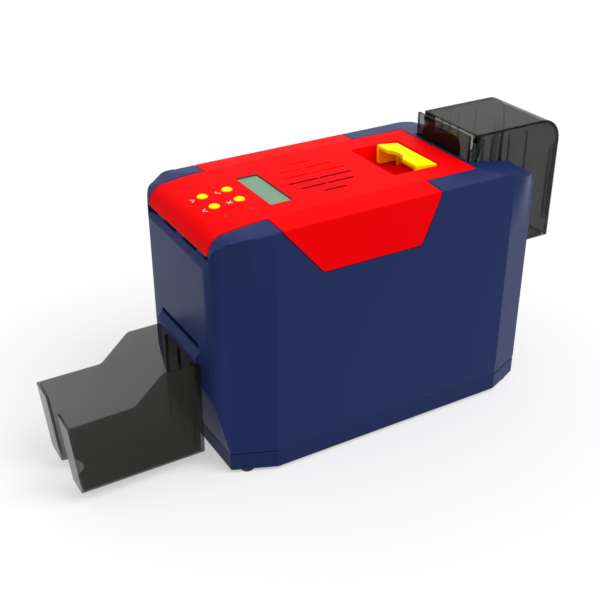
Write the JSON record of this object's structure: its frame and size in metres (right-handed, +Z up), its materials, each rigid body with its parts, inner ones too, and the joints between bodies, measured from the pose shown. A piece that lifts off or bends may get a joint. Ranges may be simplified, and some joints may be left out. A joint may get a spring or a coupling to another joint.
{
  "type": "id card printer",
  "caption": "Desktop ID card printer with a hinged top cover, release lever, control panel, card hoppers at both ends and a belt-driven card path.",
  "frame": {"origin": "middle of the bounding box, on the table under the rubber feet", "axes": "+Z up; cards travel towards -X, where the output hopper is; the input hopper is at +X and the long sides face -Y and +Y"},
  "size_m": [0.3788, 0.1214, 0.1937],
  "materials": {
    "casing_blue": "satin",
    "cover_red": "semi-gloss",
    "control_yellow": "satin",
    "smoke_plastic": "clear smoke",
    "foot_rubber": "matte",
    "zinc_steel": "zinc plated",
    "bright_steel": "ground",
    "bronze": "turned",
    "track_grey": "matte",
    "black_plastic": "satin",
    "motor_grey": "satin",
    "circuit_green": "soldermask",
    "ribbon_blue": "film",
    "display_green": "clear",
    "gear_white": "satin",
    "cleaner_white": "tacky"
  },
  "bodies": {
    "printer": {"main_casing": "casing_blue", "base_tray": "casing_blue", "rubber_feet": "foot_rubber", "base_screws": "zinc_steel", "chassis_front_plate": "zinc_steel", "chassis_rear_plate": "zinc_steel", "tie_bars": "bright_steel", "shaft_bushes": "bronze", "card_track": "track_grey", "hinge_rod": "bright_steel", "latch_bar": "bright_steel", "input_hopper_frame": "smoke_plastic", "hopper_hinge_pins": "bright_steel", "drive_belt": "foot_rubber", "stepper_motor": "motor_grey", "main_board": "circuit_green", "power_inlet": "black_plastic", "usb_port": "bright_steel", "switch_body": "black_plastic", "ribbon_film": "ribbon_blue"},
    "cover": {"top_cover": "cover_red", "hinge_leaf": "zinc_steel", "display_window": "display_green", "display_board": "circuit_green", "lever_pin": "bright_steel", "head_bracket": "zinc_steel", "print_head": "motor_grey"},
    "lever": {"release_lever": "control_yellow"},
    "up_key": {"button_up": "control_yellow"},
    "down_key": {"button_down": "control_yellow"},
    "enter_key": {"button_enter": "control_yellow"},
    "cancel_key": {"button_cancel": "control_yellow"},
    "output_tray": {"output_hopper": "smoke_plastic"},
    "input_lid": {"input_hopper_cover": "smoke_plastic"},
    "pick": {"pick_shaft": "bright_steel", "pick_roller": "foot_rubber", "pick_pulley": "gear_white"},
    "feed": {"feed_shaft": "bright_steel", "feed_roller": "foot_rubber", "feed_pulley": "gear_white"},
    "platen": {"platen_shaft": "bright_steel", "platen_roller": "foot_rubber", "platen_pulley": "gear_white", "platen_gear": "gear_white"},
    "transport": {"transport_shaft": "bright_steel", "transport_roller": "foot_rubber", "transport_pulley": "gear_white"},
    "exit": {"exit_shaft": "bright_steel", "exit_roller": "foot_rubber", "exit_pulley": "gear_white"},
    "pinion": {"motor_pinion": "bronze"},
    "idler": {"idler_gear": "gear_white"},
    "takeup": {"takeup_spool": "black_plastic", "takeup_gear": "gear_white"},
    "supply": {"supply_spool": "black_plastic", "supply_roll": "ribbon_blue"},
    "feed_pinch": {"feed_pinch_roller": "foot_rubber"},
    "transport_pinch": {"transport_pinch_roller": "foot_rubber"},
    "cleaner": {"cleaning_roller": "cleaner_white"},
    "rocker": {"power_switch": "black_plastic"}
  },
  "joints": [
    {"name": "cover_hinge", "type": "hinge", "parent": "printer", "child": "cover", "pos_m": [-0.0938, 0, 0.1604], "axis": [0, -1, 0], "range_deg": [0, 75]},
    {"name": "lever_pivot", "type": "hinge", "parent": "cover", "child": "lever", "pos_m": [0.0837, 0, 0.1739], "axis": [0, 1, 0], "range_deg": [0, 12], "stiffness_Nm_per_rad": 0.1},
    {"name": "up_press", "type": "slide", "parent": "cover", "child": "up_key", "axis": [0, 0, -1], "range_m": [0, 0.0006], "stiffness_N_per_m": 800},
    {"name": "down_press", "type": "slide", "parent": "cover", "child": "down_key", "axis": [0, 0, -1], "range_m": [0, 0.0006], "stiffness_N_per_m": 800},
    {"name": "enter_press", "type": "slide", "parent": "cover", "child": "enter_key", "axis": [0, 0, -1], "range_m": [0, 0.0006], "stiffness_N_per_m": 800},
    {"name": "cancel_press", "type": "slide", "parent": "cover", "child": "cancel_key", "axis": [0, 0, -1], "range_m": [0, 0.0006], "stiffness_N_per_m": 800},
    {"name": "output_tray_pull", "type": "slide", "parent": "printer", "child": "output_tray", "axis": [-1, 0, 0], "range_m": [0, 0.012]},
    {"name": "input_lid_hinge", "type": "hinge", "parent": "printer", "child": "input_lid", "pos_m": [0.117, 0, 0.188], "axis": [0, -1, 0], "range_deg": [0, 90]},
    {"name": "platen_spin", "type": "hinge", "parent": "printer", "child": "platen", "pos_m": [0.036, 0, 0.09101], "axis": [0, 1, 0], "continuous": true},
    {"name": "pick_spin", "type": "hinge", "parent": "printer", "child": "pick", "pos_m": [0.131, 0, 0.09567], "axis": [0, 1, 0], "continuous": true},
    {"name": "feed_spin", "type": "hinge", "parent": "printer", "child": "feed", "pos_m": [0.086, 0, 0.09347], "axis": [0, 1, 0], "continuous": true},
    {"name": "transport_spin", "type": "hinge", "parent": "printer", "child": "transport", "pos_m": [-0.019, 0, 0.08832], "axis": [0, 1, 0], "continuous": true},
    {"name": "exit_spin", "type": "hinge", "parent": "printer", "child": "exit", "pos_m": [-0.077, 0, 0.08548], "axis": [0, 1, 0], "continuous": true},
    {"name": "pinion_spin", "type": "hinge", "parent": "printer", "child": "pinion", "pos_m": [0.036, 0, 0.06542], "axis": [0, 1, 0], "continuous": true},
    {"name": "idler_spin", "type": "hinge", "parent": "printer", "child": "idler", "pos_m": [0.01512, 0, 0.1142], "axis": [0, 1, 0], "continuous": true},
    {"name": "takeup_spin", "type": "hinge", "parent": "printer", "child": "takeup", "pos_m": [-0.00254, 0, 0.13382], "axis": [0, 1, 0], "continuous": true},
    {"name": "supply_spin", "type": "hinge", "parent": "printer", "child": "supply", "pos_m": [0.075, 0, 0.136], "axis": [0, 1, 0], "continuous": true},
    {"name": "feed_pinch_spin", "type": "hinge", "parent": "printer", "child": "feed_pinch", "pos_m": [0.086, 0, 0.10626], "axis": [0, 1, 0], "continuous": true},
    {"name": "transport_pinch_spin", "type": "hinge", "parent": "printer", "child": "transport_pinch", "pos_m": [-0.019, 0, 0.10112], "axis": [0, 1, 0], "continuous": true},
    {"name": "cleaner_spin", "type": "hinge", "parent": "printer", "child": "cleaner", "pos_m": [0.065, 0, 0.10624], "axis": [0, 1, 0], "continuous": true},
    {"name": "rocker_tilt", "type": "hinge", "parent": "printer", "child": "rocker", "pos_m": [0.1478, 0.023, 0.034], "axis": [0, 1, 0], "range_deg": [-8, 8]}
  ],
  "couplings": [
    {"joint": "pick_spin", "follows": "platen_spin", "ratio": 1},
    {"joint": "feed_spin", "follows": "platen_spin", "ratio": 1},
    {"joint": "transport_spin", "follows": "platen_spin", "ratio": 1},
    {"joint": "exit_spin", "follows": "platen_spin", "ratio": 1},
    {"joint": "pinion_spin", "follows": "platen_spin", "ratio": -3},
    {"joint": "idler_spin", "follows": "platen_spin", "ratio": -1.6},
    {"joint": "takeup_spin", "follows": "platen_spin", "ratio": 1.3333},
    {"joint": "supply_spin", "follows": "platen_spin", "ratio": 0.51852},
    {"joint": "feed_pinch_spin", "follows": "platen_spin", "ratio": -1.4},
    {"joint": "transport_pinch_spin", "follows": "platen_spin", "ratio": -1.4},
    {"joint": "cleaner_spin", "follows": "platen_spin", "ratio": -1.1667}
  ]
}
